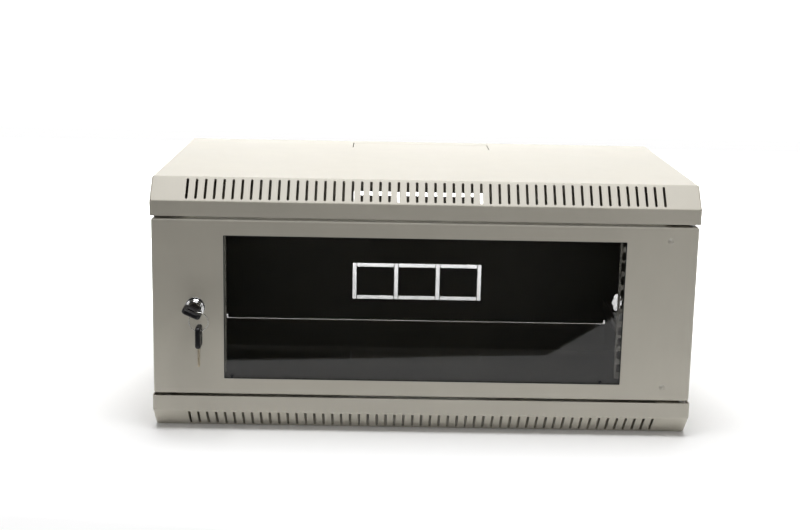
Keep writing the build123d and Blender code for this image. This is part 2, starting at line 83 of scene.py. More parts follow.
class Signal:
    # wraps one output socket, so that shader maths reads as an expression
    def __init__(self, finish, socket):
        self.finish = finish
        self.socket = socket

    def maths(self, operation, first, second):
        return self.finish.add("Math", {"operation": operation}, {0: first, 1: second})

    def __add__(self, other):
        return self.maths("ADD", self, other)

    __radd__ = __add__

    def __sub__(self, other):
        return self.maths("SUBTRACT", self, other)

    def __rsub__(self, other):
        return self.maths("SUBTRACT", other, self)

    def __mul__(self, other):
        return self.maths("MULTIPLY", self, other)

    __rmul__ = __mul__


class Finish:
    # one material: a Principled shader and the nodes that feed it
    def __init__(self, name):
        self.material = bpy.data.materials.new(name)
        self.material.use_nodes = True
        self.tree = self.material.node_tree
        self.tree.nodes.clear()
        self.shader = self.tree.nodes.new("ShaderNodeBsdfPrincipled")
        output = self.tree.nodes.new("ShaderNodeOutputMaterial")
        self.tree.links.new(self.shader.outputs[0], output.inputs["Surface"])
        self.place = self.add("TexCoord", output="Object")

    def add(self, kind, settings=None, inputs=None, output=0):
        node = self.tree.nodes.new("ShaderNode" + kind)
        for key, value in (settings or {}).items():
            if key == "stops":
                ramp = node.color_ramp.elements
                while len(ramp) < len(value):
                    ramp.new(0.5)
                for stop, (position, level) in zip(ramp, value):
                    stop.position = position
                    stop.color = (level, level, level, 1)
            else:
                setattr(node, key, value)
        for key, value in (inputs or {}).items():
            self.feed(node.inputs[key], value)
        return Signal(self, node.outputs[output])

    def feed(self, socket, value):
        if isinstance(value, Signal):
            self.tree.links.new(value.socket, socket)
        elif socket.type == "RGBA":
            socket.default_value = (*value, 1)
        else:
            socket.default_value = value

    def noise(self, size, detail=2.0, roughness=0.5, stretch=(1, 1, 1)):
        place = self.place
        if stretch != (1, 1, 1):
            place = self.add("VectorMath", {"operation": "MULTIPLY"}, {0: place, 1: stretch})
        values = {"Vector": place, "Scale": 1 / size, "Detail": detail, "Roughness": roughness}
        return self.add("TexNoise", {}, values, "Fac")

    def cells(self, size, output):
        # Voronoi cells about this far across
        values = {"Vector": self.place, "Scale": 1 / size}
        return self.add("TexVoronoi", {"feature": "F1"}, values, output)

    def ramp(self, signal, low, high):
        return self.add("ValToRGB", {"stops": [(low, 0), (high, 1)]}, {"Fac": signal})

    def mix(self, amount, first, second):
        values = {0: amount, 6: first, 7: second}
        return self.add("Mix", {"data_type": "RGBA"}, values, 2)

    def roundedEdge(self, radius):
        # a normal that rounds cut edges, and a mask that is 1 along them
        rounded = self.add("Bevel", {"samples": 4}, {"Radius": radius}, "Normal")
        flat = self.add("NewGeometry", output="Normal")
        facing = self.add("VectorMath", {"operation": "DOT_PRODUCT"}, {0: rounded, 1: flat},
                          "Value")
        return rounded, self.ramp(1 - facing, 0.01, 0.16)

    def bump(self, height, distance, normal=None, strength=1.0):
        values = {"Height": height, "Distance": distance, "Strength": strength}
        if normal is not None:
            values["Normal"] = normal
        return self.add("Bump", {}, values, "Normal")

    def finishWith(self, **values):
        for key, value in values.items():
            self.feed(self.shader.inputs[key.replace("_", " ")], value)
        return self.material


# ---- finishes

# the edge colour is partly worn coat and partly a painted highlight along cut edges and bends
coat = {"colour": (0.538, 0.508, 0.434), "shade": (0.50, 0.472, 0.404), "edge": (0.63, 0.605, 0.54),
        "roughness": 0.40, "peelSize": 1.5 * mm, "peelDepth": 0.03 * mm, "grainSize": 0.28 * mm,
        "cloudSize": 140 * mm, "streakSize": 26 * mm, "edgeRadius": 0.5 * mm}


def powderCoat():
    f = Finish("powderCoat")
    peel = f.noise(coat["peelSize"], 2.0, 0.45)
    grain = f.noise(coat["grainSize"], 2.0, 0.6)
    cloud = f.noise(coat["cloudSize"], 3.0, 0.55)
    streak = f.noise(coat["streakSize"], 4.0, 0.6, (1, 1, 0.35))
    rounded, edge = f.roundedEdge(coat["edgeRadius"])
    tone = f.mix(f.ramp(cloud * 0.7 + streak * 0.3, 0.35, 0.65), coat["shade"], coat["colour"])
    # lighter along cut edges, in patches: partly worn coat, partly a painted highlight on the bends
    edgeWearAndHighlight = edge * f.ramp(f.noise(2.2 * mm, 4.0, 0.7), 0.42, 0.62)
    tone = f.mix(edgeWearAndHighlight * 0.55, tone, coat["edge"])
    speck = f.ramp(f.noise(0.5 * mm, 1.0, 0.5), 0.70, 0.78)
    tone = f.mix(speck * 0.25, tone, coat["shade"])
    rough = coat["roughness"] - 0.06 + 0.10 * cloud + 0.07 * grain
    bump = f.bump(peel * 0.75 + grain * 0.25, coat["peelDepth"], rounded)
    return f.finishWith(Base_Color=tone, Roughness=rough, Normal=bump, Specular_IOR_Level=0.5)


zinc = {"dull": (0.50, 0.505, 0.50), "bright": (0.70, 0.71, 0.70), "edge": (0.78, 0.78, 0.77),
        "roughness": 0.26, "crystalSize": 0.9 * mm, "scratchDepth": 0.012 * mm,
        "edgeRadius": 0.25 * mm}


def zincPlate():
    f = Finish("zincPlate")
    spangle = f.add("SeparateColor", {}, {0: f.cells(zinc["crystalSize"], "Color")}, 0)
    haze = f.noise(4 * mm, 4.0, 0.6)
    scratch = f.noise(0.25 * mm, 3.0, 0.6, (0.15, 1, 1))
    rounded, edge = f.roundedEdge(zinc["edgeRadius"])
    tone = f.mix(spangle * 0.35 + haze * 0.5, zinc["dull"], zinc["bright"])
    tone = f.mix(edge * 0.5, tone, zinc["edge"])
    rough = zinc["roughness"] + 0.16 * haze + 0.08 * spangle
    bump = f.bump(scratch * 0.6 + haze * 0.4, zinc["scratchDepth"], rounded)
    return f.finishWith(Base_Color=tone, Metallic=1.0, Roughness=rough, Normal=bump)


glass = {"smoke": 0.48, "dust": 0.03, "body": (0.003, 0.0031, 0.0034), "gloss": 0.82,
         "roughness": 0.004, "rippleSize": 160 * mm, "rippleDepth": 0.02 * mm}


def smokedGlass():
    # each of the sheet's two faces holds back part of the light and mirrors a little
    f = Finish("smokedGlass")
    smear = f.ramp(f.noise(38 * mm, 5.0, 0.62, (1, 1, 0.6)), 0.5, 0.8)
    dust = f.ramp(f.noise(0.9 * mm, 1.0, 0.5), 0.74, 0.80)
    rough = glass["roughness"] + 0.018 * smear + 0.05 * dust
    ripple = f.noise(glass["rippleSize"], 1.0, 0.5)
    f.material.surface_render_method = "BLENDED"
    return f.finishWith(Base_Color=glass["body"], Roughness=rough,
                        Alpha=glass["smoke"] + glass["dust"] * dust,
                        Specular_IOR_Level=glass["gloss"],
                        Normal=f.bump(ripple, glass["rippleDepth"]))


foam = {"dark": (0.010, 0.010, 0.011), "light": (0.022, 0.022, 0.024), "roughness": 0.82,
        "cellSize": 0.35 * mm, "cellDepth": 0.06 * mm}


def foamTape():
    f = Finish("foamTape")
    cell = f.cells(foam["cellSize"], "Distance")
    patch = f.noise(9 * mm, 3.0)
    tone = f.mix(patch, foam["dark"], foam["light"])
    return f.finishWith(Base_Color=tone, Roughness=foam["roughness"] + 0.1 * patch,
                        Normal=f.bump(cell, foam["cellDepth"]))


chrome = {"dark": (0.72, 0.73, 0.74), "bright": (0.86, 0.86, 0.86), "roughness": 0.05,
          "turnedDepth": 0.004 * mm, "edgeRadius": 0.2 * mm}


def lockChrome():
    f = Finish("lockChrome")
    smear = f.noise(3.5 * mm, 5.0, 0.65)
    turned = f.noise(0.22 * mm, 2.0, 0.5, (1, 0.12, 1))
    rounded, edge = f.roundedEdge(chrome["edgeRadius"])
    tone = f.mix(smear, chrome["dark"], chrome["bright"])
    rough = chrome["roughness"] + 0.10 * f.ramp(smear, 0.45, 0.75) + 0.05 * edge
    return f.finishWith(Base_Color=tone, Metallic=1.0, Roughness=rough,
                        Normal=f.bump(turned, chrome["turnedDepth"], rounded))


plug = {"grime": (0.06, 0.06, 0.062), "metal": (0.20, 0.20, 0.20), "edge": (0.52, 0.52, 0.52),
        "roughness": 0.26, "turnedScale": 900.0, "turnedDepth": 0.006 * mm,
        "edgeRadius": 0.15 * mm}


def plugNickel():
    # the turning face of the lock, dulled by keys and dust
    f = Finish("plugNickel")
    turned = f.add("TexWave", {"wave_type": "RINGS", "rings_direction": "Y"},
                   {"Vector": f.place, "Scale": plug["turnedScale"], "Distortion": 1.5}, "Fac")
    grime = f.noise(1.6 * mm, 4.0, 0.65)
    rounded, edge = f.roundedEdge(plug["edgeRadius"])
    tone = f.mix(grime, plug["grime"], plug["metal"])
    tone = f.mix(edge * 0.6, tone, plug["edge"])
    return f.finishWith(Base_Color=tone, Metallic=1.0, Roughness=plug["roughness"] + 0.2 * grime,
                        Normal=f.bump(turned, plug["turnedDepth"], rounded))


brass = {"dark": (0.50, 0.42, 0.30), "bright": (0.74, 0.66, 0.52), "stain": (0.36, 0.22, 0.09),
         "edge": (0.86, 0.78, 0.62), "roughness": 0.22, "scratchDepth": 0.01 * mm,
         "edgeRadius": 0.2 * mm}


def keyBrass():
    f = Finish("keyBrass")
    stain = f.noise(2.5 * mm, 4.0, 0.6)
    scratch = f.noise(0.16 * mm, 3.0, 0.6, (1, 1, 0.2))
    rounded, edge = f.roundedEdge(brass["edgeRadius"])
    tone = f.mix(stain, brass["dark"], brass["bright"])
    tone = f.mix(f.ramp(f.noise(1.3 * mm, 3.0, 0.6), 0.62, 0.70) * 0.7, tone, brass["stain"])
    tone = f.mix(edge * 0.6, tone, brass["edge"])
    rough = brass["roughness"] + 0.18 * stain
    return f.finishWith(Base_Color=tone, Metallic=1.0, Roughness=rough,
                        Normal=f.bump(scratch, brass["scratchDepth"], rounded))


plastic = {"dark": (0.005, 0.005, 0.006), "light": (0.011, 0.010, 0.012),
           "edge": (0.035, 0.034, 0.037), "roughness": 0.30, "shine": 0.3,
           "sparkDepth": 0.02 * mm, "edgeRadius": 0.35 * mm}


def bowPlastic():
    f = Finish("bowPlastic")
    spark = f.noise(0.30 * mm, 3.0, 0.6)
    rub = f.noise(5 * mm, 4.0, 0.6)
    rounded, edge = f.roundedEdge(plastic["edgeRadius"])
    tone = f.mix(rub, plastic["dark"], plastic["light"])
    tone = f.mix(edge * f.ramp(rub, 0.4, 0.7) * 0.5, tone, plastic["edge"])
    rough = plastic["roughness"] + 0.16 * rub
    return f.finishWith(Base_Color=tone, Roughness=rough, Specular_IOR_Level=plastic["shine"],
                        Normal=f.bump(spark, plastic["sparkDepth"], rounded))


wire = {"dark": (0.60, 0.59, 0.57), "bright": (0.78, 0.77, 0.75), "roughness": 0.12,
        "drawnDepth": 0.006 * mm}


def ringNickel():
    f = Finish("ringNickel")
    drawn = f.noise(0.3 * mm, 3.0, 0.6)
    haze = f.noise(3 * mm, 4.0, 0.6)
    tone = f.mix(haze, wire["dark"], wire["bright"])
    return f.finishWith(Base_Color=tone, Metallic=1.0, Roughness=wire["roughness"] + 0.16 * haze,
                        Normal=f.bump(drawn, wire["drawnDepth"]))


finishes = {
    "painted_steel": powderCoat(),
    "zinc_steel": zincPlate(),
    "smoked_glass": smokedGlass(),
    "foam_tape": foamTape(),
    "lock_chrome": lockChrome(),
    "key_brass": keyBrass(),
    "black_plastic": bowPlastic(),
    "ring_steel": ringNickel(),
}
plugFinish = plugNickel()
for name, node in nodes.items():
    node.data.materials.clear()
    node.data.materials.append(plugFinish if name == "lock_plug" else finishes[slotOf[name]])
print("finishes made:", len(finishes))


# ---- mesh tools

def linkedPiece(name, mesh, slotName, body):
    # puts a mesh in the scene, with its finish and the body that it moves with
    for face in mesh.polygons:
        face.use_smooth = True
    piece = bpy.data.objects.new(name, mesh)
    bpy.context.scene.collection.objects.link(piece)
    mesh.materials.append(finishes[slotName])
    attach(piece, body)
    return piece


def addPiece(name, mesh, standsFor, sharpAngle=35):
    # a detailed piece in place of the CAD nodes that it stands for
    first = standsFor[0]
    piece = linkedPiece(name, mesh, slotOf[first], nodes[first]["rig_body"])
    mesh.set_sharp_from_angle(angle=math.radians(sharpAngle))
    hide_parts(*standsFor)


def placed(origin, xDir, zDir):
    # a matrix from a flat drawing to its plane in the cabinet
    zDir = Vector(zDir).normalized()
    xDir = Vector(xDir).normalized()
    yDir = zDir.cross(xDir)
    matrix = Matrix((xDir, yDir, zDir)).transposed().to_4x4()
    matrix.translation = Vector(origin)
    return matrix


def joinedMesh(name, parts):
    # one mesh from several
    bm = bmesh.new()
    for part in parts:
        bm.from_mesh(part)
    mesh = bpy.data.meshes.new(name)
    bm.to_mesh(mesh)
    bm.free()
    return mesh


def cleanMesh(bm, mesh, matrix, gap):
    # joins points nearer than the gap, turns the faces outwards and moves all to its place
    bmesh.ops.remove_doubles(bm, verts=bm.verts, dist=gap)
    bmesh.ops.recalc_face_normals(bm, faces=bm.faces)
    bm.transform(matrix)
    bm.to_mesh(mesh)
    bm.free()
    return mesh


def ringSurface(name, rings, matrix, steps=96, closed=False):
    # skins a stack of rings; a ring's radius and height are numbers, or functions of the angle
    bm = bmesh.new()
    rows = []
    for radius, level in rings:
        row = []
        for step in range(steps):
            angle = 2 * math.pi * step / steps
            r = radius(angle) if callable(radius) else radius
            z = level(angle) if callable(level) else level
            row.append(bm.verts.new((r * math.cos(angle), r * math.sin(angle), z)))
        rows.append(row)
    pairs = list(zip(rows, rows[1:]))
    if closed:
        pairs.append((rows[-1], rows[0]))
    for lower, upper in pairs:
        for step in range(steps):
            after = (step + 1) % steps
            bm.faces.new((lower[step], lower[after], upper[after], upper[step]))
    if not closed:
        bm.faces.new(list(reversed(rows[0])))
        bm.faces.new(rows[-1])
    return cleanMesh(bm, bpy.data.meshes.new(name), matrix, 0.0001 * mm)


def arcRings(radius, level, across, along, steps):
    # rings round a quarter of an ellipse, which starts at radius + across and ends at level + along
    rings = []
    for step in range(steps + 1):
        angle = math.pi / 2 * step / steps
        rings.append((radius + across * math.cos(angle), level + along * math.sin(angle)))
    return rings


def hexRadius(flats):
    # a hexagon's outline as a radius at each angle
    def radius(angle):
        turn = (angle + math.pi / 6) % (math.pi / 3) - math.pi / 6
        return flats / 2 / math.cos(turn)
    return radius


def threadRings(radius, pitch, start, end, depth, cut=None):
    # rings whose radius rises and falls along a helix, so that they read as a screw thread
    perPitch = 8
    count = max(2, int(abs(end - start) / pitch * perPitch))
    rings = []
    for index in range(count + 1):
        level = start + (end - start) * index / count

        def ringRadius(angle, level=level):
            phase = (level / pitch - angle / (2 * math.pi)) % 1
            r = radius - depth * abs(2 * phase - 1)
            return cut(angle, r) if cut else r
        rings.append((ringRadius, level))
    return rings


def roundedLoop(width, height, radius, middle, steps=10):
    # a rectangle with round corners, drawn anticlockwise about (0, middle)
    points = []
    for corner, (signX, signY) in enumerate(((1, 1), (-1, 1), (-1, -1), (1, -1))):
        centreX = signX * (width / 2 - radius)
        centreY = middle + signY * (height / 2 - radius)
        for step in range(steps + 1):
            angle = math.pi / 2 * (corner + step / steps)
            x = centreX + radius * math.cos(angle)
            points.append((x, centreY + radius * math.sin(angle)))
    return points


def meshFromCurve(curve):
    # the mesh of a curve with its bevel
    holder = bpy.data.objects.new(curve.name, curve)
    bpy.context.scene.collection.objects.link(holder)
    bpy.context.view_layer.update()
    shape = holder.evaluated_get(bpy.context.evaluated_depsgraph_get())
    mesh = bpy.data.meshes.new_from_object(shape)
    bpy.data.objects.remove(holder)
    return mesh


def plate(name, loops, thickness, bevel, matrix):
    # a flat plate with holes and rolled edges, from closed outlines; its middle is at height 0
    curve = bpy.data.curves.new(name, "CURVE")
    curve.dimensions = "2D"
    curve.fill_mode = "BOTH"
    curve.extrude = thickness / 2 - bevel
    curve.bevel_depth = bevel
    curve.bevel_resolution = 4
    curve.offset = -bevel
    for loop in loops:
        spline = curve.splines.new("POLY")
        spline.points.add(len(loop) - 1)
        for point, (x, y) in zip(spline.points, loop):
            point.co = (x, y, 0, 1)
        spline.use_cyclic_u = True
    mesh = meshFromCurve(curve)
    bm = bmesh.new()
    bm.from_mesh(mesh)
    return cleanMesh(bm, mesh, matrix, 0.001 * mm)


def tube(name, points, radius):
    # round wire along a line of points, with closed ends
    curve = bpy.data.curves.new(name, "CURVE")
    curve.dimensions = "3D"
    curve.bevel_depth = radius
    curve.bevel_resolution = 5
    curve.use_fill_caps = True
    spline = curve.splines.new("POLY")
    spline.points.add(len(points) - 1)
    for point, place in zip(spline.points, points):
        point.co = (*place, 1)
    return meshFromCurve(curve)


# ---- keys

keyShape = {"tilt": 24.0, "cornerRadius": 4.5 * mm, "rolledEdge": 1.1 * mm,
            "slotLength": 12 * mm, "slotHeight": 4 * mm, "slotCorner": 1.99 * mm,
            "slotWeb": 4.8 * mm, "recess": 0.45 * mm, "recessWidth": 11.5 * mm,
            "recessHeight": 7.5 * mm, "recessCorner": 2.4 * mm, "recessPlace": 7.2 * mm,
            "skinEdge": 0.2 * mm}

spareLow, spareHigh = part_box("spare_key_bow")
keyLow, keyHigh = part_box("key_bow")
bowThickness, bowWidth, bowLength = spareHigh - spareLow  # the two bows are alike


def keyBow(name, node, origin, xDir, zDir):
    # a solid core, and on each face a skin with a shallow thumb recess
    shape = keyShape
    inset = shape["rolledEdge"]
    corner = shape["cornerRadius"]
    middle = bowLength / 2
    slotPlace = bowLength - shape["slotWeb"] - shape["slotHeight"] / 2
    outline = roundedLoop(bowWidth, bowLength, corner, middle)
    rim = roundedLoop(bowWidth - 2 * inset, bowLength - 2 * inset, corner - inset, middle)
    slot = roundedLoop(shape["slotLength"], shape["slotHeight"], shape["slotCorner"], slotPlace)
    thumb = roundedLoop(shape["recessWidth"], shape["recessHeight"], shape["recessCorner"],
                        shape["recessPlace"])
    matrix = placed(origin, xDir, zDir)
    skin = 3 * shape["recess"]
    parts = [plate(name, [outline, slot], bowThickness - 2 * shape["recess"], inset, matrix)]
    for side in (-1, 1):
        lift = Matrix.Translation((0, 0, side * (bowThickness - skin) / 2))
        parts.append(plate(name, [rim, slot, thumb], skin, shape["skinEdge"], matrix @ lift))
    addPiece(name, joinedMesh(name, parts), [node])


tilt = math.radians(keyShape["tilt"])
keyMiddle = (keyLow + keyHigh) / 2
keyBow("keyBow", "key_bow", (keyMiddle.x, keyHigh.y, keyMiddle.z),
       (math.cos(tilt), 0, -math.sin(tilt)), (-math.sin(tilt), 0, -math.cos(tilt)))
spareMiddle = (spareLow + spareHigh) / 2
keyBow("spareKeyBow", "spare_key_bow", (spareMiddle.x, spareMiddle.y, spareLow.z),
       (0, 1, 0), (1, 0, 0))

splitRing = {"wire": 0.34 * mm, "gap": 0.04 * mm, "turns": 1.96, "pointsPerTurn": 90,
             "start": 0.6, "crossFrom": 0.86, "crossLength": 0.24}


def keyRing():
    # two touching turns of sprung wire
    low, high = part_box("key_ring")
    centre = (low + high) / 2
    radius = (high.x - low.x) / 2 - (high.y - low.y) / 2
    step = 2 * splitRing["wire"] + splitRing["gap"]
    count = int(splitRing["turns"] * splitRing["pointsPerTurn"])
    points = []
    for index in range(count + 1):
        turn = index / splitRing["pointsPerTurn"]
        angle = 2 * math.pi * turn + splitRing["start"]
        # the wire crosses from one side to the other over a short stretch of each turn
        share = min(1, max(0, (turn - splitRing["crossFrom"]) / splitRing["crossLength"]))
        side = (share * share * (3 - 2 * share) - 0.5) * step
        x = centre.x + radius * math.cos(angle)
        z = centre.z + radius * math.sin(angle)
        points.append((x, centre.y + side, z))
    addPiece("keyRing", tube("keyRing", points, splitRing["wire"]), ["key_ring"])


keyRing()
print("keys made")


# ---- lock

lockShape = {"bore": 6.05 * mm, "boreChamfer": 0.25 * mm, "collar": 8.2 * mm,
             "collarRound": 0.8 * mm, "collarSpread": 0.15 * mm, "collarFoot": 3.4 * mm,
             "flare": 2.1 * mm, "flareTop": 3.1 * mm, "flangeShelf": 0.5 * mm,
             "flangeChamfer": 0.15 * mm, "flangeShoulder": 0.9 * mm, "flangeEdge": 0.7 * mm,
             "barrel": 9 * mm, "barrelChamfer": 0.6 * mm, "flats": 16 * mm, "pitch": 1.0 * mm,
             "threadDepth": 0.45 * mm, "threadStart": 0.2 * mm, "nutBore": 8.75 * mm,
             "nutChamfer": 0.4 * mm}


def lockHousing():
    # a collar that flares into a flange before the door, and a threaded barrel behind it
    low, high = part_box("lock_housing")
    centre = (low + high) / 2
    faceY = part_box("door_panel")[0].y
    outer = (high.x - low.x) / 2
    front = faceY - low.y
    back = high.y - faceY
    shape = lockShape
    bore = shape["bore"]
    barrel = shape["barrel"]
    chamfer = shape["barrelChamfer"]
    roll = shape["collarRound"]
    flare = shape["flare"]

    def flatted(angle, radius):
        # two flats cut the barrel and its thread
        limit = shape["flats"] / 2
        across = abs(math.sin(angle))
        return min(radius, limit / across) if across > 1e-6 else radius

    rings = [(bore, front - shape["boreChamfer"]), (bore + shape["boreChamfer"], front)]
    rings += arcRings(shape["collar"] - roll, front - roll, roll, roll, 6)[::-1]
    rings.append((shape["collar"] + shape["collarSpread"], shape["collarFoot"]))
    rings += arcRings(outer - shape["flangeShelf"], shape["flareTop"], -flare, -flare, 8)
    rings.append((outer - shape["flangeChamfer"], shape["flangeShoulder"]))
    rings += [(outer, shape["flangeEdge"]), (outer, 0), (barrel, 0)]
    rings += threadRings(barrel, shape["pitch"], -shape["threadStart"], chamfer - back,
                         shape["threadDepth"], flatted)
    rings.append((lambda angle: flatted(angle, barrel - chamfer), -back))
    rings.append((bore, -back))
    matrix = placed((centre.x, faceY, centre.z), (1, 0, 0), (0, -1, 0))
    addPiece("lockHousing", ringSurface("lockHousing", rings, matrix, 144, True), ["lock_housing"])


lockHousing()

nutShape = {"crown": 0.48, "slope": 0.5}


def hexNutMesh(name, flats, height, bore, chamfer, matrix):
    # a hexagon whose corners are turned down at both ends, with a chamfered bore
    outline = hexRadius(flats)
    crown = nutShape["crown"] * flats

    def turnedDown(angle):
        return max(0, outline(angle) - crown) * nutShape["slope"]

    rings = [
        (bore + chamfer, height), (crown, height),
        (outline, lambda angle: height - turnedDown(angle)), (outline, turnedDown),
        (crown, 0), (bore + chamfer, 0), (bore, chamfer), (bore, height - chamfer),
    ]
    return ringSurface(name, rings, matrix, 72, True)


def lockNut():
    low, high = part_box("lock_nut")
    centre = (low + high) / 2
    matrix = placed((centre.x, low.y, centre.z), (1, 0, 0), (0, 1, 0))
    mesh = hexNutMesh("lockNut", high.z - low.z, high.y - low.y, lockShape["nutBore"],
                      lockShape["nutChamfer"], matrix)
    addPiece("lockNut", mesh, ["lock_nut"])


lockNut()

panScrew = {"headHeight": 2.4 * mm, "headEdge": 0.3 * mm, "headRim": 0.8 * mm, "dome": 0.35,
            "top": 3.0 * mm, "crossHalf": 0.55 * mm, "crossReach": 2.7 * mm,
            "crossFloor": 0.9 * mm, "crossTaper": 0.6, "shank": 2 * mm, "tip": 1.2 * mm,
            "point": 0.4 * mm, "relief": 0.3 * mm, "pitch": 0.7 * mm, "threadDepth": 0.35 * mm}


def camScrew():
    # a pan head with a cross recess, and the threaded shank in the plug
    low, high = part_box("cam_screw")
    centre = (low + high) / 2
    screw = panScrew
    headRadius = (high.x - low.x) / 2
    headHeight = screw["headHeight"]
    shank = high.y - low.y - headHeight
    dome = headRadius * screw["dome"]

    def cross(angle):
        turn = (angle + math.pi / 4) % (math.pi / 2) - math.pi / 4
        arm = screw["crossHalf"] / max(abs(math.sin(turn)), 1e-3)
        return min(screw["crossReach"], arm)

    rings = [(screw["tip"], -shank)]
    rings += threadRings(screw["shank"], screw["pitch"], screw["point"] - shank,
                         -screw["relief"], screw["threadDepth"])
    rings += [(screw["shank"], 0), (headRadius - screw["headEdge"], 0)]
    rings.append((headRadius, screw["headEdge"]))
    rim = screw["headRim"]
    rings += arcRings(headRadius - dome, rim, dome, headHeight - rim, 8)[1:-1]
    rings += [(screw["top"], headHeight), (cross, headHeight)]
    rings.append((lambda angle: cross(angle) * screw["crossTaper"], screw["crossFloor"]))
    matrix = placed((centre.x, high.y - headHeight, centre.z), (1, 0, 0), (0, 1, 0))
    addPiece("camScrew", ringSurface("camScrew", rings, matrix, 96), ["cam_screw"])


camScrew()
print("lock made")


# ---- fasteners

railBolt = {"head": 5.5 * mm, "headHeight": 3.2 * mm, "headEdge": 0.2 * mm, "headRim": 0.4 * mm,
            "dome": 0.42, "socket": 4 * mm, "socketDepth": 2.1 * mm, "socketLip": 0.15 * mm,
            "socketChamfer": 0.2 * mm, "shank": 3 * mm, "tip": 0.6 * mm, "point": 0.5 * mm,
            "plainShank": 2.2 * mm, "threadEnd": 2.5 * mm, "pitch": 1 * mm,
            "threadDepth": 0.55 * mm, "nutFlats": 10 * mm, "nutBore": 2.6 * mm,
            "nutChamfer": 0.4 * mm}


def boltRings(length):
    # a domed head with a hexagon socket above height 0, and its threaded shank below
    bolt = railBolt
    shank = bolt["shank"]
    head = bolt["head"]
    top = bolt["headHeight"]
    rim = bolt["headRim"]
    dome = bolt["dome"] * head
    socket = hexRadius(bolt["socket"])
    rings = [(shank - bolt["tip"], -length)]
    rings += threadRings(shank, bolt["pitch"], bolt["point"] - length, -bolt["threadEnd"],
                         bolt["threadDepth"])
    rings += [(shank, -bolt["plainShank"]), (shank, 0), (head - bolt["headEdge"], 0)]
    rings += arcRings(head - dome, rim, dome, top - rim, 8)
    rings.append((lambda angle: socket(angle) + bolt["socketLip"], top))
    rings += [(socket, top - bolt["socketChamfer"]), (socket, top - bolt["socketDepth"])]
    return rings


def railFasteners(side, sign):
    screwLow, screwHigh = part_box("rail_screws_" + side)
    nutLow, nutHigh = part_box("rail_nuts_" + side)
    bolt = railBolt
    place = (screwLow + screwHigh) / 2
    headX = screwLow.x if sign > 0 else screwHigh.x
    seatX = headX + sign * bolt["headHeight"]
    nutX = nutLow.x if sign > 0 else nutHigh.x
    rings = boltRings(screwHigh.x - screwLow.x - bolt["headHeight"])
    screws = []
    nuts = []
    for level in (screwLow.z + bolt["head"], screwHigh.z - bolt["head"]):
        matrix = placed((seatX, place.y, level), (0, 1, 0), (-sign, 0, 0))
        screws.append(ringSurface("railScrew", rings, matrix, 72))
        matrix = placed((nutX, place.y, level), (0, 0, 1), (sign, 0, 0))
        nuts.append(hexNutMesh("railNut", bolt["nutFlats"], nutHigh.x - nutLow.x,
                               bolt["nutBore"], bolt["nutChamfer"], matrix))
    sideName = side.capitalize()
    addPiece("railScrews" + sideName, joinedMesh("railScrews", screws), ["rail_screws_" + side])
    addPiece("railNuts" + sideName, joinedMesh("railNuts", nuts), ["rail_nuts_" + side])


for side, sign in (("left", -1), ("right", 1)):
    railFasteners(side, sign)

glassStud = {"radius": 2 * mm, "foot": 0.9 * mm, "footHeight": 0.35 * mm, "neck": 0.7 * mm,
             "threadStart": 0.9 * mm, "pitch": 0.7 * mm, "threadDepth": 0.36 * mm,
             "tip": 0.5 * mm, "point": 0.4 * mm, "nutFlats": 7 * mm, "nutBore": 1.7 * mm,
             "nutChamfer": 0.3 * mm}


def glassFasteners():
    # three welded studs above the window and three below it, each with its nut
    low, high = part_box("glass_studs")
    nutLow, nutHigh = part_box("glass_nuts")
    stud = glassStud
    radius = stud["radius"]
    length = high.y - low.y
    foot = radius + stud["foot"]
    rings = [(foot, 0), (foot, stud["footHeight"]), (radius, stud["neck"])]
    rings += threadRings(radius, stud["pitch"], stud["threadStart"], length - stud["point"],
                         stud["threadDepth"])
    rings.append((radius - stud["tip"], length))
    studs = []
    nuts = []
    for x in (low.x + radius, (low.x + high.x) / 2, high.x - radius):
        for z in (low.z + radius, high.z - radius):
            matrix = placed((x, low.y, z), (1, 0, 0), (0, 1, 0))
            studs.append(ringSurface("glassStud", rings, matrix, 48))
            matrix = placed((x, nutLow.y, z), (0, 0, 1), (0, 1, 0))
            nuts.append(hexNutMesh("glassNut", stud["nutFlats"], nutHigh.y - nutLow.y,
                                   stud["nutBore"], stud["nutChamfer"], matrix))
    addPiece("glassStuds", joinedMesh("glassStuds", studs), ["glass_studs"])
    addPiece("glassNuts", joinedMesh("glassNuts", nuts), ["glass_nuts"])


glassFasteners()
print("fasteners made")


# ---- spot welds that show through the coat

welds = {"radius": 3.4 * mm, "height": 0.045 * mm, "hollow": 0.02 * mm, "doorInset": 10 * mm,
         "steps": 10, "perRunner": 5}


def weldMesh(places, normal, xDir):
    # a low ring with a sunken middle at each weld
    marks = []
    for place in places:
        rings = [(welds["radius"], 0)]
        for step in range(1, welds["steps"]):
            share = step / welds["steps"]
            level = welds["height"] * math.sin(math.pi * share) ** 2
            if share > 0.5:
                level = max(level, welds["height"] - welds["hollow"])
            rings.append((welds["radius"] * (1 - share), level))
        marks.append(ringSurface("weld", rings, placed(place, xDir, normal), 32))
    return joinedMesh("welds", marks)


doorLow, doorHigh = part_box("door_panel")
doorWelds = []
for end in ("lower", "upper"):
    bracketLow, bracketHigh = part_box("hinge_bracket_" + end)
    level = (bracketLow.z + bracketHigh.z) / 2
    doorWelds.append((bracketLow.x + welds["doorInset"], doorLow.y, level))
linkedPiece("doorWelds", weldMesh(doorWelds, (0, -1, 0), (1, 0, 0)), "painted_steel", "door")

for side, sign in (("left", -1), ("right", 1)):
    wallLow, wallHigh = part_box(side + "_side_wall")
    outerX = wallLow.x if sign < 0 else wallHigh.x
    marks = []
    for end in ("lower", "upper"):
        runnerLow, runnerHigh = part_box("depth_runner_" + end + "_" + side)
        level = (runnerLow.z + runnerHigh.z) / 2
        step = (runnerHigh.y - runnerLow.y) / welds["perRunner"]
        for count in range(welds["perRunner"]):
            marks.append((outerX, runnerLow.y + step * (count + 0.5), level))
    mesh = weldMesh(marks, (sign, 0, 0), (0, sign, 0))
    linkedPiece(side + "WallWelds", mesh, "painted_steel", "cabinet")
print("welds made")


# ---- studio

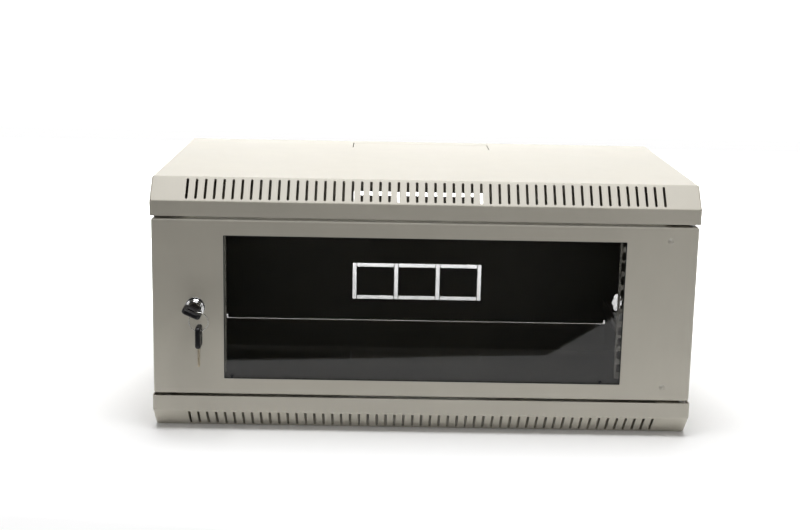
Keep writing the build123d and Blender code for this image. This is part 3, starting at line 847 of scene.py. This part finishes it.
studio = {"floorColour": (0.90, 0.90, 0.90), "floorRoughness": 0.85, "floorGlow": 0.05,
          "floorReach": 2.3, "wallColour": (0.8, 0.8, 0.8), "wallGlow": 1.30, "wallReach": 4.5,
          "wallHeight": 1.5, "wallPlace": 2.6, "ambient": 0.03}


def studioMaterial(name, colour, roughness=0.9, glow=0.0, shine=0.2):
    f = Finish(name)
    return f.finishWith(Base_Color=colour, Roughness=roughness, Specular_IOR_Level=shine,
                        Emission_Color=(1, 1, 1), Emission_Strength=glow)


def flatSheet(name, corners, material):
    mesh = bpy.data.meshes.new(name)
    mesh.from_pydata(corners, [], [tuple(range(len(corners)))])
    mesh.materials.append(material)
    sheet = bpy.data.objects.new(name, mesh)
    bpy.context.scene.collection.objects.link(sheet)
    return sheet


reach = studio["floorReach"]
flatSheet("floor", [(-reach, -reach, 0), (reach, -reach, 0), (reach, reach, 0), (-reach, reach, 0)],
          studioMaterial("paleFloor", studio["floorColour"], studio["floorRoughness"],
                         studio["floorGlow"]))

reach = studio["wallReach"]
wallY = studio["wallPlace"]
wallTop = studio["wallHeight"]
flatSheet("backWall", [(-reach, wallY, 0), (reach, wallY, 0),
                       (reach, wallY, wallTop), (-reach, wallY, wallTop)],
          studioMaterial("backWall", studio["wallColour"], glow=studio["wallGlow"]))

# a black card in front, where a white table top would end: the glass mirrors it, the camera
# doesn't see it, and its outline is measured from the door's face
blackCard = {"colour": (0.002, 0.002, 0.002), "height": 2 * mm,
             "outline": [(-1.0, -0.169), (-0.25, -0.263), (0.179, -0.316), (0.285, -0.498),
                         (0.45, -0.78), (1.0, -1.0), (1.0, -2.0), (-1.0, -2.0)]}
card = flatSheet("blackCard",
                 [(x, doorLow.y + y, blackCard["height"]) for x, y in blackCard["outline"]],
                 studioMaterial("blackCard", blackCard["colour"], 1.0, 0.0, 0.0))
card.visible_camera = False
card.visible_shadow = False


def softLight(name, settings, location, target):
    data = bpy.data.lights.new(name, "AREA")
    data.shape = "RECTANGLE"
    data.size, data.size_y = settings["size"]
    data.energy = settings["power"]
    if "spread" in settings:
        data.spread = math.radians(settings["spread"])
    light = bpy.data.objects.new(name, data)
    bpy.context.scene.collection.objects.link(light)
    light.location = location
    aim = Vector(target) - Vector(location)
    light.rotation_euler = aim.to_track_quat("-Z", "Y").to_euler()
    return light


middle = (cadBox[0] + cadBox[1]) / 2

topLight = {"power": 76.0, "size": (1.8, 1.8), "place": -0.24, "height": 2.5}
softLight("topLight", topLight, (0, topLight["place"], topLight["height"]),
          (0, topLight["place"], 0))

backLight = {"power": 41.0, "size": (2.6, 1.0), "place": 1.15, "height": 1.6, "lean": 0.1,
             "spread": 70}
softLight("backLight", backLight, (0, backLight["place"], backLight["height"]),
          (0, backLight["place"] + backLight["lean"], 0))

sideLight = {"power": 5.0, "size": (0.9, 0.9), "reach": 1.9, "place": -0.85, "height": 0.7}
for name, sign in (("leftLight", -1), ("rightLight", 1)):
    location = (sign * sideLight["reach"], sideLight["place"], sideLight["height"])
    softLight(name, sideLight, location, middle)

# a thin strip behind each side of the window frame picks out the rails
railLight = {"power": 0.007, "size": (16 * mm, 190 * mm), "aside": 16 * mm, "ahead": 42 * mm,
             "aimAside": 6 * mm, "spread": 60}
for side, sign in (("left", -1), ("right", 1)):
    railLow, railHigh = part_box("mounting_rail_" + side)
    innerX = railLow.x if sign > 0 else railHigh.x
    location = (innerX + sign * railLight["aside"], railLow.y - railLight["ahead"], middle.z)
    target = (innerX + sign * railLight["aimAside"], railLow.y, middle.z)
    strip = softLight(side + "RailLight", railLight, location, target)
    strip.visible_camera = False
    strip.visible_glossy = False

world = bpy.data.worlds.new("studioWorld")
bpy.context.scene.world = world
world.use_nodes = True
tree = world.node_tree
tree.nodes.clear()


def worldShade(strength):
    shade = tree.nodes.new("ShaderNodeBackground")
    shade.inputs["Color"].default_value = (1, 1, 1, 1)
    shade.inputs["Strength"].default_value = strength
    return shade


path = tree.nodes.new("ShaderNodeLightPath")
either = tree.nodes.new("ShaderNodeMixShader")
worldOut = tree.nodes.new("ShaderNodeOutputWorld")
tree.links.new(path.outputs["Is Camera Ray"], either.inputs["Fac"])
tree.links.new(worldShade(studio["ambient"]).outputs[0], either.inputs[1])
tree.links.new(worldShade(1.0).outputs[0], either.inputs[2])
tree.links.new(either.outputs[0], worldOut.inputs["Surface"])
bpy.context.scene.view_settings.view_transform = "Standard"
print("studio made")


# ---- camera

lens = {"focal": 61.945, "sensor": 36, "place": (-0.0443, -1.4683, 0.5173), "turn": -0.665,
        "pitch": -12.429, "roll": -1.138}
cameraData = bpy.data.cameras.new("camera")
cameraData.lens = lens["focal"]
cameraData.sensor_width = lens["sensor"]
camera = bpy.data.objects.new("camera", cameraData)
bpy.context.scene.collection.objects.link(camera)
turn = Matrix.Rotation(math.radians(lens["turn"]), 4, "Z")
pitch = Matrix.Rotation(math.radians(lens["pitch"]), 4, "X")
roll = Matrix.Rotation(math.radians(lens["roll"]), 4, "Y")
upright = Matrix.Rotation(math.radians(90), 4, "X")
cameraX, cameraY, cameraZ = lens["place"]
place = Matrix.Translation((cameraX, doorLow.y + cameraY, cameraZ))
camera.matrix_world = place @ turn @ pitch @ roll @ upright
bpy.context.scene.camera = camera
print("camera made")
